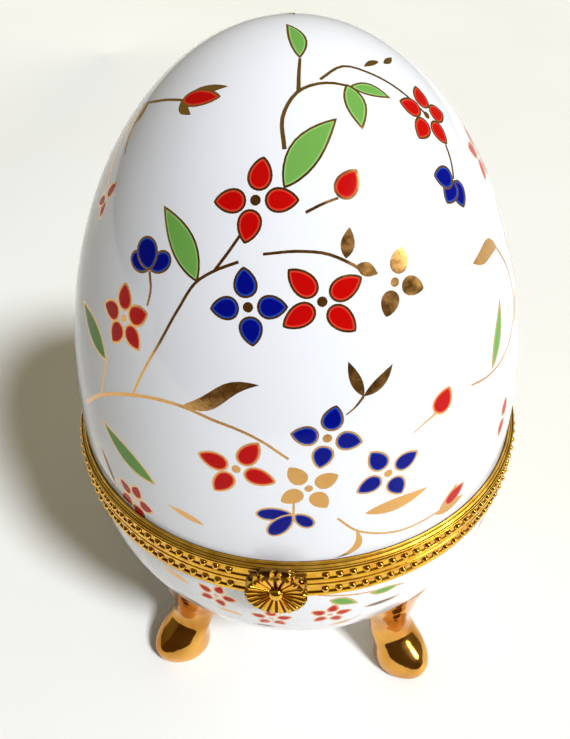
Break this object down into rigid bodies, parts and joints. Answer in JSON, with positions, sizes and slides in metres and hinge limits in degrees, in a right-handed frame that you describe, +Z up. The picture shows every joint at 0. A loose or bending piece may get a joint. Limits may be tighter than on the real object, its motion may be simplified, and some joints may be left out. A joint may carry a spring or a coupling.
{
  "type": "hinged egg trinket box",
  "caption": "Hollow porcelain egg box on gilded feet, parted at a beaded gilt-brass band, with a flower-shaped clasp in front, a hinged lid and painted flower sprays.",
  "frame": {"origin": "on the ground, under the egg's axis, between the feet", "axes": "+Z up along the egg's axis; -Y is the front, where the clasp is; +Y is the back, where the hinge is; +X is to the right of someone facing the front"},
  "size_m": [0.074, 0.0786, 0.1084],
  "materials": {
    "porcelain": "glossy white glaze with painted enamel flowers; the feet are gilded with mirror gold",
    "gilt_brass": "polished yellow gilding"
  },
  "bodies": {
    "base": {"bowl_with_feet": "porcelain", "lower_ring": "gilt_brass", "hinge_leaf_lower": "gilt_brass", "hinge_pin": "gilt_brass"},
    "cover": {"lid_shell": "porcelain", "upper_ring": "gilt_brass", "hinge_leaf_upper": "gilt_brass", "clasp_rosette": "gilt_brass"}
  },
  "joints": [
    {"name": "lid_hinge", "type": "hinge", "parent": "base", "child": "cover", "pos_m": [0, 0.0384, 0.046], "axis": [-1, 0, 0], "range_deg": [0, 95]}
  ]
}
